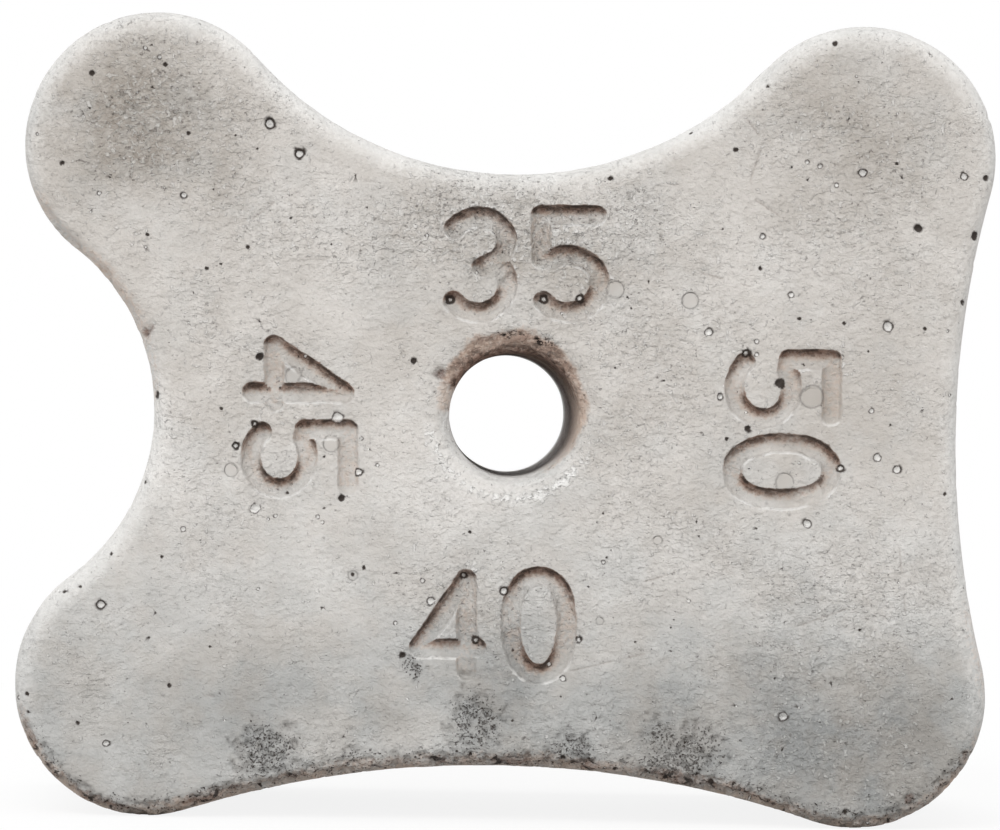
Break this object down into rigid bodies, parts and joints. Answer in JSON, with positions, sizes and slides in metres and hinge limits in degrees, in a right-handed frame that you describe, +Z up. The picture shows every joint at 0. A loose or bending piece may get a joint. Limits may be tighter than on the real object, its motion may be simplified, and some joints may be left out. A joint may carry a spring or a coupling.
{
  "type": "concrete reinforcing bar spacer block",
  "caption": "Cast concrete cover block: round feet at the corners, an arched bar saddle of its own depth between each pair, and a tie hole through the middle.",
  "frame": {"origin": "on the ground, midway between the two lower feet and midway through the thickness", "axes": "+X across the width, towards the shallowest saddle, +Y from the front (moulded) face to the back face, +Z up, towards the deepest saddle"},
  "size_m": [0.052, 0.025, 0.043],
  "materials": {
    "concrete": "cast, matt, fine pores"
  },
  "bodies": {
    "root": {"spacer_block": "concrete"}
  },
  "joints": []
}
